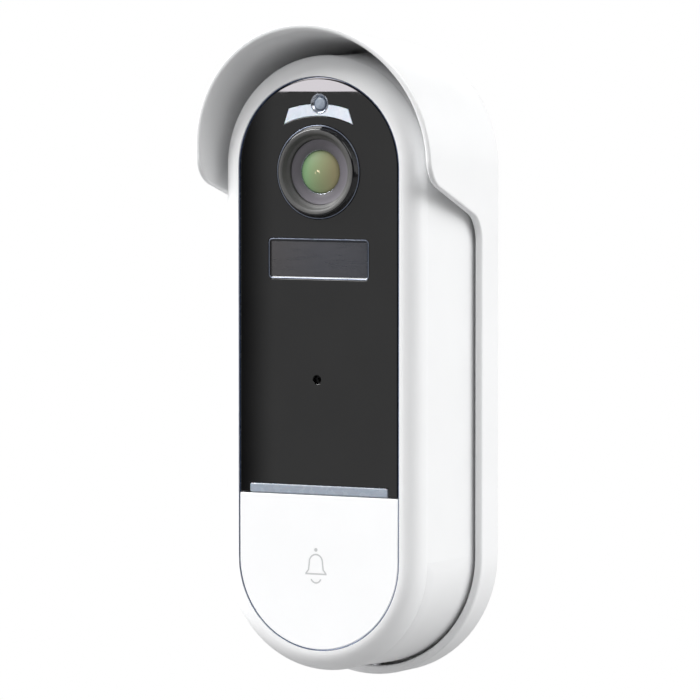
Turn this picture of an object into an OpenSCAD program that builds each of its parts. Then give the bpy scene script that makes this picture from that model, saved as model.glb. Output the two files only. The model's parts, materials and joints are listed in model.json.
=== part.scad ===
// Battery video doorbell: a stadium-shaped unit with a camera, a motion window and a
// large push button, seated in a wall bracket whose top reaches forward as a rain hood.
// The wall is the plane y = 0 and the doorbell faces -Y. "Forward" below is the distance
// in front of the wall, so a point at forward f lies at y = -f.

/* [Unit] */
// Distance between the centres of the round top and the round bottom
arc_spacing = 92; // [88:1:98]
// Outer radius of the white front frame
frame_r = 26.4; // [25.8:0.1:26.6]
// Radius of the rolled front edge of the frame
frame_fillet = 4.85; // [3.5:0.05:4.85]
// Radius of the opening that holds the panel and the button
opening_r = 21.5; // [21:0.1:21.5]
// Distance from the wall to the front face of the frame
front_f = 35; // [35:0.5:36]
// Distance from the wall to the back of the unit
unit_back_f = 3; // [3:0.1:3.4]

/* [Bracket] */
// Outer radius of the bracket
bracket_r = 29.6; // [29.2:0.1:30.4]
// Inner radius of the lip round the unit
lip_inner_r = 27.6; // [27.3:0.1:28]
// Forward depth of the lip
lip_f = 8.6; // [8:0.1:9]
// Thickness of the back plate
plate_t = 2.5; // [2:0.1:2.6]
// Outer radius of the hood's front rim
hood_r = 31.5; // [31:0.1:32.5]
// Wall thickness of the hood at its rim
hood_wall = 1.5; // [1.2:0.1:2]
// Height by which the hood's arch rises above the round top of the unit
hood_rise = 2.7; // [2:0.1:3.5]
// Reach of the hood in front of the frame, level with the round top's centre
hood_reach = 2.8; // [2:0.1:4]
// Forward lean of the rim, in degrees
hood_lean = 7.6; // [4:0.1:9]
// Distance between the two wall screws
wall_screw_spacing = 84; // [76:1:90]
// Radius of a wall screw hole
wall_screw_r = 2.1; // [1.8:0.1:2.4]

/* [Button] */
// Height of the straight top edge of the button
button_top_z = -30.8; // [-33:0.1:-30.5]
// Travel of the button
button_travel = 0.6; // [0.4:0.1:0.6]

/* [Camera] */
// Height of the lens axis
lens_z = 45.1; // [44:0.1:46]
// Outer radius of the ring round the lens, where it meets the panel
lens_ring_r = 11; // [10.8:0.05:11.2]
// How far the ring stands out of the panel
lens_ring_proud = 1.45; // [1.3:0.05:2]

/* [Motion window] */
// Width of the motion window
pir_w = 26.8; // [25:0.2:27]
// Height of the motion window
pir_h = 9.5; // [8.8:0.1:9.6]
// Height of the middle of the motion window
pir_z = 24.7; // [24:0.1:26]

/* [Hidden] */

$fn = 96;
eps = 0.02;
half = arc_spacing / 2;

// Forward positions, from the front face back to the wall
panel_f = front_f - 0.1;
panel_t = 1.5;
seat_f = panel_f - panel_t;
web_front_f = seat_f - 1;
web_back_f = web_front_f - 1.2;
frame_back_f = front_f - frame_fillet;
shell_front_f = frame_back_f - 0.15;
skirt_back_f = frame_back_f - 2.1;
board_front_f = 27;
board_t = 1.2;
board_back_f = board_front_f - board_t;

// Radii of the unit's shells
shell_front_r = frame_r - 0.25;
shell_back_r = 26.8;
shell_inner_r = 24.2;
shell_floor_f = unit_back_f + 2;
skirt_outer_r = 24;
skirt_inner_r = 23;
trim_inner_r = opening_r - 0.2;
panel_r = opening_r - 0.55;
panel_rim_t = 0.7;
button_r = trim_inner_r - 0.1;
board_r = 22.4;

// Status bar above the button
bar_w = 37;
bar_h = 2.3;
bar_z = button_top_z + 0.05;

// Button and its switch
button_t = 1.7;
button_back_f = panel_f - button_t;
stem_z = -48;
stem_r = 2.5;
plunger_r = 1.7;
switch_side = 6;
switch_front_f = 30;
plunger_front_f = 30.9;
plunger_back_f = 29.2;
pad_r = 9;
pad_hollow_r = 6;
pad_recess = 0.7;
icon_x = -0.7;
icon_z = -47.2;

// Camera, from the dish in the ring back to its board
dish_r = 7.7;
dish_f = panel_f - 0.75;
baffle_back_f = dish_f - 2.05;
front_lens_r = 4.85;
front_lens_f = panel_f + 0.5;

// Photosensor and infrared window above the camera
sensor_x = 0.3;
sensor_z = 61.1;
sensor_ring_r = 2.05;
sensor_lens_r = 1.45;
ir_outer_r = 28;
ir_outer_z = sensor_z - 28.1;
ir_inner_r = 22.3;
ir_inner_z = sensor_z - 25.2;
ir_led_r = 23.9;
ir_led_z = 35;
ir_board_f = 29.2;

// Microphone
mic_x = -0.4;
mic_z = -3.6;
mic_hole_r = 1.05;

// Battery
cell_r = 9.2;
cell_len = 65;
cell_x = 9.7;
cell_f = 15;
cell_bottom_z = -41;
cell_top_z = cell_bottom_z + cell_len;
contact_t = 0.6;
tray_wall = 1.5;
tray_top_z = cell_top_z + contact_t + tray_wall;
wire_r = 0.6;
wire_x = 6;
wire_pitch = 2.4;
wire_f = 8;
wire_z = 30;
wire_bend = 2;
plug_t = 3;

// Charging port, reset button and the flap over both
port_f = board_back_f - 1.65;
port_x = -2.7;
port_w = 9;
port_t = 3.3;
port_mouth_z = -68.2;
reset_x = 4.6;
reset_r = 1.3;
reset_tip_z = -69.3;
reset_top_z = -64.6;
flap_w = 15;
flap_f0 = 14.5;
flap_f1 = 26;
flap_top_z = -69.9;
flap_pin_z = -70.4;
flap_pin_r = 0.5;
flap_heel_r = 2.25;
flap_gap = 0.25;
flap_pin_len = flap_w + 1.6;
port_block_w = 18.4;
port_block_top_z = -65.3;

// Speaker, tilted towards the lower left
speaker_angle = 222;
speaker_r = 8;
speaker_t = 4;
speaker_back = 18;
speaker_f = 15.5;

// Screws
housing_screw_at = [[-20, -48], [20, -48], [-20, 48], [20, 48]];
housing_boss_r = 3;
housing_boss_f = 24;
board_screw_at = [[-20, -28], [20, -28], [-20, 29.5], [20, 29.5]];
lock_f = 5.7;
lock_r = 1.5;
lock_len = 2.4;
lock_bottom_z = -75.4;
insert_r = 2.3;
insert_z = -72.2;
insert_len = 6.2;
peg_at = [-56, 58];
peg_r = 2;
peg_f = 7.5;

// Edge of the hood seen from the side, in forward and height
hood_edge_low = [lip_f, half - 12.6];
hood_slope = 19;
hood_front_round = 8;
hood_inner_round = 7;

white = "#f2f3f4";
black = "#18191b";
board_green = "#1d5a3a";
steel = "#b9bcc0";

// ---- shared shapes ----

// Outline of two half circles joined by straight sides, in x and z
module stadium_2d(r) {
    square([2 * r, 2 * half], center = true);
    for (s = [-1, 1])
        translate([0, s * half]) circle(r);
}

// Extrudes an outline drawn in x and z from forward f0 to forward f1
module slab(f0, f1) {
    translate([0, -f0, 0]) rotate([90, 0, 0]) linear_extrude(f1 - f0) children();
}

module stadium(r, f0, f1) {
    slab(f0, f1) stadium_2d(r);
}

// Carries a profile drawn in radius and forward round the whole stadium
module stadium_sweep() {
    for (m = [0, 1]) {
        mirror([0, 0, m]) translate([0, 0, half]) rotate([90, 0, 0]) rotate_extrude(angle = 180) children();
        mirror([m, 0, 0]) mirror([0, 1, 0]) linear_extrude(2 * half, center = true) children();
    }
}

// Cylinder along the forward direction
module peg(x, z, r, f0, f1) {
    translate([x, -f0, z]) rotate([90, 0, 0]) cylinder(r = r, h = f1 - f0);
}

// Box between two forward positions, centred on x and z
module block(x, z, w, h, f0, f1) {
    translate([x - w / 2, -f1, z - h / 2]) cube([w, f1 - f0, h]);
}

module round_rect_2d(w, h, r) {
    square([w - 2 * r, h], center = true);
    square([w, h - 2 * r], center = true);
    for (sx = [-1, 1], sz = [-1, 1])
        translate([sx * (w / 2 - r), sz * (h / 2 - r)]) circle(r);
}

// Turns a profile drawn in radius and forward about the lens axis
module lens_turn() {
    translate([0, 0, lens_z]) rotate([90, 0, 0]) rotate_extrude() children();
}

// ---- mounting bracket ----

// Upper outline of the hood: an arch over straight sides that run well below the edge
module hood_2d(r, rise) {
    depth = 40;
    translate([0, half + rise]) circle(r, $fn = 180);
    translate([-r, half + rise - depth]) square([2 * r, depth]);
}

// Space between the lip and the leaning rim plane, for one wall surface
module hood_loft(r_back, r_rim, f_back, f_rim) {
    hull() {
        slab(f_back, f_back + eps) hood_2d(r_back, 0);
        translate([0, -f_rim, half]) rotate([90 + hood_lean, 0, 0]) linear_extrude(eps)
            translate([0, -half]) hood_2d(r_rim, hood_rise);
    }
}

function on_circle(c, r, a) = c + r * [cos(a), sin(a)];
function arc_points(c, r, a0, a1, n) = [for (i = [0 : n]) on_circle(c, r, a0 + (a1 - a0) * i / n)];

// Side view of the bracket: the lip, then the rounded step up to the hood's lower edge,
// whose front corner rounds into the leaning rim
module bracket_side_2d() {
    low = hood_edge_low;
    rim_f = front_f + hood_reach;
    inner_r = hood_inner_round;
    inner_c = low + [inner_r, inner_r * tan(hood_slope) - inner_r / cos(hood_slope)];
    // the round touches both the sloping edge and the rim plane
    edge_rise = low[1] - low[0] * tan(hood_slope) + hood_front_round / cos(hood_slope);
    round_f = (rim_f - hood_front_round / cos(hood_lean) + tan(hood_lean) * (edge_rise - half))
        / (1 - tan(hood_lean) * tan(hood_slope));
    round_c = [round_f, edge_rise + round_f * tan(hood_slope)];
    top_z = 100;
    polygon(concat(
        [[-1, top_z], [-1, -top_z], [lip_f, -top_z]],
        arc_points(inner_c, inner_r, 180, 90 + hood_slope, 12),
        arc_points(round_c, hood_front_round, hood_slope - 90, -hood_lean, 16),
        [[rim_f + (top_z - half) * tan(hood_lean) + 0.3, top_z]]
    ));
}

module mounting_bracket() {
    rim_f = front_f + hood_reach;
    lip_z = -half - bracket_r;
    color(white) difference() {
        intersection() {
            union() {
                stadium(bracket_r, 0, lip_f);
                hood_loft(bracket_r, hood_r, lip_f - eps, rim_f);
            }
            translate([-50, 0, 0]) rotate([90, 0, 90]) linear_extrude(100) mirror([1, 0])
                bracket_side_2d();
        }
        stadium(lip_inner_r, plate_t, lip_f + eps);
        hood_loft(lip_inner_r, hood_r - hood_wall, lip_f - eps, rim_f + 1);
        for (s = [-1, 1]) {
            peg(0, s * wall_screw_spacing / 2, wall_screw_r, -1, plate_t + 1);
            peg(0, s * wall_screw_spacing / 2, 2 * wall_screw_r, plate_t - 1.1, plate_t + 1);
        }
        // bore of the lock screw in the bottom of the lip, with a slit that lets the lip grip it
        translate([0, -lock_f, lip_z - 1]) cylinder(r = lock_r + 0.1, h = 4);
        block(0, lip_z + 1, 0.4, 4, lock_f, lip_f + 1);
    }
    color(white) for (z = peg_at)
        peg(0, z, peg_r, plate_t - eps, peg_f);
}

// ---- housings ----

// Outer solid of the rear housing, which widens slightly towards the wall
module shell_solid() {
    chamfer = 1.5;
    stadium_sweep() polygon([
        [0, unit_back_f], [shell_back_r - chamfer, unit_back_f], [shell_back_r, unit_back_f + chamfer],
        [shell_back_r, lip_f], [shell_front_r, shell_front_f], [0, shell_front_f]
    ]);
}

module speaker_place() {
    translate([0, -speaker_f, -half]) rotate([0, -speaker_angle, 0]) rotate([0, 90, 0]) children();
}

// Cylinder across the unit on the flap's hinge axis
module flap_round(r, w) {
    translate([0, -flap_f0, flap_pin_z]) rotate([0, 90, 0]) cylinder(r = r, h = w, center = true);
}

// Shape of the flap and its round heel, or with a gap the pocket that they lie in
module flap_space(gap) {
    block(0, flap_top_z - 5 + gap, flap_w + 2 * gap, 10, flap_f0, flap_f1 + gap);
    flap_round(flap_heel_r + gap, flap_w + 2 * gap);
}

module rear_housing() {
    seal_depth = 0.65;
    color(white) difference() {
        union() {
            difference() {
                shell_solid();
                stadium(shell_inner_r, shell_floor_f, shell_front_f + 1);
            }
            intersection() {
                shell_solid();
                union() {
                    block(0, port_block_top_z - 5, port_block_w, 10, 11.5, shell_front_f - 2.5);
                    block(0, -70, 7.4, 12, unit_back_f, 9.6);
                }
            }
            for (p = housing_screw_at)
                peg(p[0], p[1], housing_boss_r, unit_back_f, housing_boss_f);
            for (z = peg_at)
                peg(0, z, peg_r + 2, unit_back_f, peg_f + 1.6);
        }
        // groove for the seal
        stadium_sweep() translate([24.5, shell_front_f - seal_depth]) square([1, 2]);
        for (p = housing_screw_at) {
            peg(p[0], p[1], 1.4, unit_back_f - 1, housing_boss_f + 1);
            peg(p[0], p[1], 2.6, unit_back_f - 1, unit_back_f + 2.2);
        }
        for (z = peg_at)
            peg(0, z, peg_r + 0.15, unit_back_f - 1, peg_f + 0.4);
        flap_space(flap_gap);
        // room for the flap's edge as it swings past its heel
        block(0, flap_pin_z - 4, flap_w + 2 * flap_gap, 8, flap_f0 - flap_heel_r - flap_gap, flap_f0);
        block(port_x, -68, port_w + 0.4, 12, port_f - port_t / 2 - 0.2, port_f + port_t / 2 + 0.2);
        translate([reset_x, -port_f, -72]) cylinder(r = reset_r + 0.25, h = 12);
        flap_round(flap_pin_r, flap_pin_len);
        // seat of the threaded insert
        translate([0, -lock_f, -80]) cylinder(r = lock_r + 0.2, h = 14);
        translate([0, -lock_f, insert_z]) cylinder(r = insert_r, h = insert_len + 0.2);
        // sound holes
        speaker_place() for (i = [-1 : 1], j = [-1 : 1])
            translate([3 * i, 3 * j, speaker_back]) cylinder(r = 0.8, h = 12);
    }
}

// Arched outline of the infrared window, notched round the photosensor
module ir_window_2d(grow) {
    foot = 9.65 + grow;
    head = 7.2 + grow;
    difference() {
        intersection() {
            translate([0, ir_outer_z]) circle(ir_outer_r + grow);
            polygon([[-foot, 55], [-head, 62], [head, 62], [foot, 55]]);
        }
        translate([0, ir_inner_z]) circle(ir_inner_r - grow);
        translate([sensor_x, sensor_z]) circle(sensor_ring_r + 0.25 - grow);
    }
}

module front_housing() {
    color(white) {
        difference() {
            union() {
                // rolled frame
                stadium_sweep() difference() {
                    union() {
                        translate([frame_r - frame_fillet, frame_back_f]) intersection() {
                            circle(frame_fillet);
                            square(frame_fillet);
                        }
                        translate([trim_inner_r, frame_back_f])
                            square([frame_r - frame_fillet - trim_inner_r, frame_fillet]);
                    }
                    translate([opening_r - 1, seat_f]) square([1, 5]);
                }
                stadium(skirt_outer_r, web_back_f, web_front_f);
                // raised seat behind the panel
                intersection() {
                    stadium(opening_r - 0.2, web_front_f - eps, seat_f);
                    block(0, 50 + button_top_z + 1.2, 60, 100, web_front_f - 1, seat_f + 1);
                }
                difference() {
                    stadium(skirt_outer_r, skirt_back_f, web_back_f + eps);
                    stadium(skirt_inner_r, skirt_back_f - 1, web_back_f + 1);
                }
                for (p = housing_screw_at)
                    peg(p[0], p[1], housing_boss_r - 0.2, housing_boss_f + 0.1, web_back_f + eps);
                for (p = board_screw_at)
                    peg(p[0], p[1], 2.2, board_front_f, web_back_f + eps);
            }
            for (p = housing_screw_at)
                peg(p[0], p[1], 1.2, housing_boss_f - 1, 30);
            for (p = board_screw_at)
                peg(p[0], p[1], 0.8, board_front_f - 1, 30);
            peg(0, lens_z, 9.2, 20, 40);
            peg(sensor_x, sensor_z, sensor_lens_r, 20, 40);
            peg(mic_x, mic_z, 2.3, 20, 40);
            peg(0, stem_z, stem_r + 0.5, 20, 40);
            block(0, pir_z, 24.6, 8.4, 20, 40);
            block(0, bar_z + 1.1, 31, 1.8, 20, 40);
            slab(20, 40) ir_window_2d(-0.5);
        }
    }
}

module housing_seal() {
    color("#2b2c2e") stadium_sweep() translate([24.55, shell_front_f - 0.65]) square([0.9, 0.8]);
}

// ---- front panel and what shows through it ----

module panel_trim_ring() {
    color("#9fb0c4") stadium_sweep()
        translate([trim_inner_r, seat_f]) square([opening_r - trim_inner_r, panel_t - 0.35]);
}

// Plate with a thinner rim that closes the gap to the frame
module front_panel() {
    color(black) difference() {
        intersection() {
            union() {
                stadium(panel_r, seat_f, panel_f);
                stadium(trim_inner_r - 0.05, seat_f, seat_f + panel_rim_t);
            }
            block(0, 50 + button_top_z + 0.25, 60, 100, seat_f - 1, panel_f + 1);
        }
        peg(0, lens_z, lens_ring_r + 0.05, seat_f - 1, panel_f + 1);
        peg(sensor_x, sensor_z, sensor_ring_r + 0.03, seat_f - 1, panel_f + 1);
        peg(mic_x, mic_z, mic_hole_r, seat_f - 1, panel_f + 1);
        slab(seat_f - 1, panel_f + 1) translate([0, pir_z]) round_rect_2d(pir_w + 0.1, pir_h + 0.1, 1.05);
        slab(seat_f - 1, panel_f + 1) ir_window_2d(0.05);
        block(0, bar_z + bar_h / 2 - 2, bar_w + 0.1, bar_h + 4.1, seat_f - 1, panel_f + 1);
    }
}

module camera_bezel() {
    ring_f = panel_f + lens_ring_proud;
    color("#5f6062") lens_turn() polygon([
        [dish_r + 0.05, seat_f], [lens_ring_r, seat_f], [lens_ring_r, panel_f + 0.1],
        [lens_ring_r - 0.3, panel_f + 0.2], [lens_ring_r - 0.55, ring_f - 0.1], [lens_ring_r - 0.7, ring_f],
        [lens_ring_r - 1.5, ring_f], [lens_ring_r - 2.05, ring_f - 0.2], [lens_ring_r - 2.6, ring_f - 0.8],
        [dish_r + 0.05, ring_f - 0.9]
    ]);
}

module lens_baffle_ring() {
    color("#6a6570") difference() {
        peg(0, lens_z, dish_r, baffle_back_f, dish_f);
        peg(0, lens_z, front_lens_r + 0.05, 30, 36);
    }
}

module front_lens() {
    dome_r = 9;
    color("#6f8f6a") intersection() {
        translate([0, dome_r - front_lens_f, lens_z]) sphere(dome_r);
        peg(0, lens_z, front_lens_r, baffle_back_f, front_lens_f + 1);
    }
}

module lens_barrel() {
    color("#202124") difference() {
        union() {
            peg(0, lens_z, 7.2, 22.3, baffle_back_f);
            peg(0, lens_z, 8.6, 22.3, 25);
        }
        peg(0, lens_z, 4.6, 21, 33);
        peg(0, lens_z, 5.3, 26.4, 29);
    }
}

module rear_lens() {
    color("#9fb4b0") peg(0, lens_z, 5.28, 26.5, 28.9);
}

module image_sensor() {
    color("#30343c") block(0, lens_z, 7, 7, 21.2, 22.2);
}

module camera_board() {
    color(board_green) block(0, lens_z, 21, 21, 20, 21.2);
}

module photosensor_ring() {
    color("#8f96a0") difference() {
        peg(sensor_x, sensor_z, sensor_ring_r, seat_f, panel_f + 0.15);
        peg(sensor_x, sensor_z, sensor_lens_r + 0.02, seat_f - 1, panel_f + 1);
    }
}

module photosensor_lens() {
    dome = 4;
    color("#3b4048") intersection() {
        peg(sensor_x, sensor_z, sensor_lens_r - 0.02, ir_board_f + 1.4, panel_f + 1);
        translate([sensor_x, dome - panel_f, sensor_z]) sphere(dome);
    }
}

module infrared_window() {
    color("#cfdbe8") slab(seat_f, panel_f) ir_window_2d(0);
}

module infrared_leds() {
    color("#d8d8e6") for (a = [-16, -11, 11, 16])
        translate([0, 0, ir_led_z]) rotate([0, a, 0])
            block(0, ir_led_r, 1.2, 1.2, ir_board_f + 1, ir_board_f + 1.9);
}

module infrared_board() {
    color(board_green) difference() {
        slab(ir_board_f, ir_board_f + 1) intersection() {
            translate([0, half]) circle(20.5);
            translate([0, 61.5]) square([26, 8], center = true);
        }
        peg(0, lens_z, 9.4, 20, 40);
    }
}

module motion_lens() {
    skirt = 0.5;
    color("#4a505e") {
        slab(seat_f + 0.3, panel_f - 0.05) translate([0, pir_z]) round_rect_2d(pir_w, pir_h, 1);
        slab(seat_f - skirt, seat_f + 0.32) translate([0, pir_z]) round_rect_2d(24.2, 8, 0.8);
    }
}

module motion_sensor() {
    color(steel) {
        peg(0, pir_z, 4.1, board_front_f + 0.4, board_front_f + 4.2);
        peg(0, pir_z, 4.6, board_front_f, board_front_f + 0.6);
    }
}

module motion_sensor_hood() {
    color("#e8e8e8") difference() {
        block(0, pir_z, 24.2, 11.6, board_front_f, web_back_f);
        block(0, pir_z, 22.6, 10, board_front_f - 1, web_back_f + 1);
    }
}

module microphone() {
    color(steel) block(mic_x, mic_z, 3.5, 2.7, board_front_f, board_front_f + 1);
}

module microphone_seal() {
    color("#37383b") difference() {
        peg(mic_x, mic_z, 2.2, board_front_f + 1, seat_f);
        peg(mic_x, mic_z, 0.55, board_front_f - 1, seat_f + 1);
    }
}

module status_light_bar() {
    color("#98a2b4") {
        slab(seat_f, panel_f) translate([0, bar_z + bar_h / 2]) round_rect_2d(bar_w, bar_h, 0.5);
        block(0, bar_z + 1.1, 30, 1.4, board_front_f + 1.2, seat_f + eps);
    }
}

module status_leds() {
    color("#e9e4cf") for (x = [-12, -4, 4, 12])
        block(x, bar_z + 1.1, 2, 1.4, board_front_f, board_front_f + 0.9);
}

// ---- button ----

module button_2d() {
    intersection() {
        stadium_2d(button_r);
        translate([-30, button_top_z - 60]) square([60, 60 - 0.02]);
    }
}

module button_cap() {
    color(white) {
        difference() {
            slab(button_back_f, panel_f) button_2d();
            difference() {
                peg(0, stem_z, pad_r + 0.4, button_back_f - 1, button_back_f + pad_recess);
                peg(0, stem_z, pad_hollow_r - 0.4, button_back_f - 2, button_back_f + pad_recess + 1);
            }
            bell_place(panel_f - 0.15, panel_f + 1) bell_2d(0.02);
        }
        peg(0, stem_z, stem_r, plunger_front_f, button_back_f + eps);
    }
}

// Thin outline of a hand bell with a dot above and a short arc under it
module bell_2d(grow) {
    line = 0.34 + grow;
    difference() {
        bell_body_2d(line / 2);
        bell_body_2d(-line / 2);
    }
    translate([0, 3.55]) circle(0.42 + grow);
    translate([0, -2.9]) difference() {
        circle(1.35 + line / 2);
        circle(1.35 - line / 2);
        translate([-3, -0.45]) square([6, 4]);
    }
}

// Bell body: a dome, a waist and a wider foot, grown or shrunk by d
module bell_body_2d(d) {
    translate([0, 0.7]) circle(1.75 + d);
    foot = 2.6 + 1.4 * d;
    polygon([
        [-1.75 - d, 0.7], [1.75 + d, 0.7], [1.95 + d, -1.1], [foot, -1.95],
        [foot, -2.15 - d], [-foot, -2.15 - d], [-foot, -1.95], [-1.95 - d, -1.1]
    ]);
}

module bell_place(f0, f1) {
    slab(f0, f1) translate([icon_x, icon_z]) children();
}

module bell_icon() {
    color("#c9ccd1") bell_place(panel_f - 0.15, panel_f) bell_2d(0);
}

module button_pad() {
    color("#d9d9d9") difference() {
        peg(0, stem_z, pad_r, web_front_f, button_back_f + 0.02);
        peg(0, stem_z, pad_hollow_r, web_front_f - 1, button_back_f + 1);
    }
}

module switch_body() {
    color("#2a2b2d") difference() {
        block(0, stem_z, switch_side, switch_side, board_front_f, switch_front_f);
        peg(0, stem_z, plunger_r + 0.05, plunger_back_f - button_travel - 0.2, switch_front_f + 1);
    }
}

module switch_plunger() {
    color("#d8c9a0") peg(0, stem_z, plunger_r, plunger_back_f, plunger_front_f);
}

// ---- electronics ----

module main_board() {
    color(board_green) difference() {
        intersection() {
            stadium(board_r, board_back_f, board_front_f);
            block(0, -16, 60, 98, board_back_f - 1, board_front_f + 1);
        }
        for (p = housing_screw_at)
            peg(p[0], p[1], housing_boss_r + 0.4, 20, 30);
        for (p = board_screw_at)
            peg(p[0], p[1], 0.95, 20, 30);
    }
}

module shield_can() {
    color(steel) difference() {
        block(0, 8.6, 18, 18, board_front_f, board_front_f + 2.2);
        block(0, 8.6, 17.4, 17.4, board_front_f - 1, board_front_f + 1.9);
    }
}

module processor() {
    color("#26272a") block(0, 8.6, 12, 12, board_front_f, board_front_f + 1.1);
}

module wifi_antenna() {
    color("#c8a24a") {
        block(-15.5, 10, 5, 14, board_front_f + 2.2, board_front_f + 2.6);
        block(-15.5, 3.4, 5, 0.6, board_front_f, board_front_f + 2.4);
    }
}

module speaker() {
    color("#3a3b3e") speaker_place() translate([0, 0, speaker_back]) {
        cylinder(r = speaker_r, h = speaker_t);
        translate([0, 0, -1.6]) cylinder(r = 5, h = 1.7);
    }
}

module speaker_gasket() {
    color("#1f2022") speaker_place() translate([0, 0, speaker_back + speaker_t]) difference() {
        cylinder(r = 7, h = 1.05);
        translate([0, 0, -1]) cylinder(r = 5.2, h = 4);
    }
}

// ---- battery ----

module battery_cells() {
    color("#3f7fb5") for (s = [-1, 1])
        translate([s * cell_x, -cell_f, cell_bottom_z]) cylinder(r = cell_r, h = cell_len);
}

module battery_tray() {
    bottom_z = cell_bottom_z - contact_t - tray_wall;
    height = tray_top_z - bottom_z;
    color("#2b2c2f") difference() {
        block(0, bottom_z + height / 2, 41, height, shell_floor_f, cell_f);
        for (s = [-1, 1])
            translate([s * cell_x, -cell_f, cell_bottom_z - contact_t])
                cylinder(r = cell_r + 0.15, h = cell_len + 2 * contact_t);
    }
}

module battery_contacts() {
    color("#d0c48a") for (s = [-1, 1], z = [cell_bottom_z - contact_t, cell_top_z])
        translate([s * cell_x, -cell_f, z]) intersection() {
            cylinder(r = cell_r - 2.5, h = contact_t);
            translate([-10, 0, -1]) cube([20, 20, 3]);
        }
}

// Two wires that leave the tray upwards and turn forward into the plug
module battery_lead() {
    color("#a02020") for (s = [-0.5, 0.5])
        translate([wire_x + s * wire_pitch, 0, 0]) {
            translate([0, -wire_f, tray_top_z]) cylinder(r = wire_r, h = wire_z - wire_bend - tray_top_z);
            translate([0, -wire_f - wire_bend, wire_z - wire_bend]) rotate([90, 0, 90])
                rotate_extrude(angle = 90) translate([wire_bend, 0]) circle(wire_r);
            peg(0, wire_z, wire_r, wire_f + wire_bend, board_back_f - plug_t);
        }
}

module battery_plug() {
    color("#efece2") block(wire_x, wire_z, 6, 4.4, board_back_f - plug_t, board_back_f);
}

// ---- bottom: port, flap, reset, lock ----

module usb_port() {
    wall = 0.4;
    tongue_z = port_mouth_z + 3;
    color(steel) difference() {
        block(port_x, port_mouth_z + 3.6, port_w, 7.2, port_f - port_t / 2, port_f + port_t / 2);
        block(port_x, port_mouth_z + 2.5, port_w - 2 * wall, 5.1, port_f - port_t / 2 + wall,
            port_f + port_t / 2 - wall);
    }
    color("#1c1d1f") block(port_x, tongue_z, port_w - 2.4, 4.2, port_f - 0.35, port_f + 0.35);
}

module usb_cover() {
    plug_h = 1;
    color("#e4e5e7") difference() {
        union() {
            intersection() {
                shell_solid();
                flap_space(0);
            }
            // plug that enters the port's mouth
            block(port_x, flap_top_z + plug_h / 2 - 0.1, port_w - 1.4, plug_h + 0.2,
                port_f - 1.2, port_f + 1.2);
        }
        flap_round(flap_pin_r + 0.05, flap_w + 1);
    }
}

module usb_cover_pin() {
    color(steel) flap_round(flap_pin_r, flap_pin_len);
}

module reset_button() {
    color("#3a3b3e") translate([reset_x, -port_f, reset_tip_z])
        cylinder(r = reset_r, h = reset_top_z - reset_tip_z);
}

module reset_switch() {
    travel = 0.4;
    color("#cfcfcf") block(reset_x, reset_top_z + travel + 1, 4, 2, port_f - 1.6, board_back_f);
}

// Set screw in the lip, backed off so that its tip is clear of the unit
module lock_screw() {
    color(steel) difference() {
        translate([0, -lock_f, lock_bottom_z]) cylinder(r = lock_r, h = lock_len);
        translate([0, -lock_f, lock_bottom_z - 1]) cylinder(r = 0.85, h = 2.3, $fn = 6);
    }
}

module lock_insert() {
    color("#c9a14a") difference() {
        translate([0, -lock_f, insert_z]) cylinder(r = insert_r, h = insert_len);
        translate([0, -lock_f, insert_z - 1]) cylinder(r = lock_r + 0.15, h = insert_len + 2);
    }
}

module housing_screws() {
    color(steel) for (p = housing_screw_at) {
        difference() {
            peg(p[0], p[1], 2.4, unit_back_f + 0.4, unit_back_f + 2.2);
            translate([p[0], -unit_back_f, p[1]]) rotate([90, 0, 0]) cylinder(r = 1, h = 1.4, $fn = 6);
        }
        peg(p[0], p[1], 1.2, unit_back_f + 2.1, 29.5);
    }
}

module board_screws() {
    color(steel) for (p = board_screw_at) {
        peg(p[0], p[1], 1.7, board_back_f - 1.2, board_back_f);
        peg(p[0], p[1], 0.8, board_back_f - eps, 29.5);
    }
}

mounting_bracket();
rear_housing();
front_housing();
housing_seal();
panel_trim_ring();
front_panel();
camera_bezel();
lens_baffle_ring();
front_lens();
lens_barrel();
rear_lens();
image_sensor();
camera_board();
photosensor_ring();
photosensor_lens();
infrared_window();
infrared_leds();
infrared_board();
motion_lens();
motion_sensor();
motion_sensor_hood();
microphone();
microphone_seal();
status_light_bar();
status_leds();
button_cap();
bell_icon();
button_pad();
switch_body();
switch_plunger();
main_board();
shield_can();
processor();
wifi_antenna();
speaker();
speaker_gasket();
battery_cells();
battery_tray();
battery_contacts();
battery_lead();
battery_plug();
usb_port();
usb_cover();
usb_cover_pin();
reset_button();
reset_switch();
lock_screw();
lock_insert();
housing_screws();
board_screws();
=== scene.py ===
"""Looks of the video doorbell: materials, detailed visible pieces, camera, floor and studio light."""
import json
import math

import bmesh
import bpy
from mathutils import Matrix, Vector

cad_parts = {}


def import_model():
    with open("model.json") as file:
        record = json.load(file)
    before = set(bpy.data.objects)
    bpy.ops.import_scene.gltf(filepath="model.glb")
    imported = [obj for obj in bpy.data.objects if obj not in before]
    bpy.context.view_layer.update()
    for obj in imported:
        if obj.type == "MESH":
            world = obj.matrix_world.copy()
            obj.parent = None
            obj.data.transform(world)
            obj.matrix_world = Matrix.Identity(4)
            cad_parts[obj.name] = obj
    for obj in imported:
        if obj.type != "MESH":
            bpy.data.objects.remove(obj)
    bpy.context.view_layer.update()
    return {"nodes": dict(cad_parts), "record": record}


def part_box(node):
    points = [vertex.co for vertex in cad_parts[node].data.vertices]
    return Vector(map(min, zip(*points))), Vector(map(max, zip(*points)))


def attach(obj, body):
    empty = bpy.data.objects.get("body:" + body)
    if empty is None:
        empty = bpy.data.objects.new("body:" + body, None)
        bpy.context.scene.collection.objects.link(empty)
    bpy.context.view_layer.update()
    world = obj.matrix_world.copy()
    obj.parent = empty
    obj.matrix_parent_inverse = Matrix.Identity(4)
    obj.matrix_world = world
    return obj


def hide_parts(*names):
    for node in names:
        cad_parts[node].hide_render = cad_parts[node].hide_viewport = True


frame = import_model()

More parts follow.
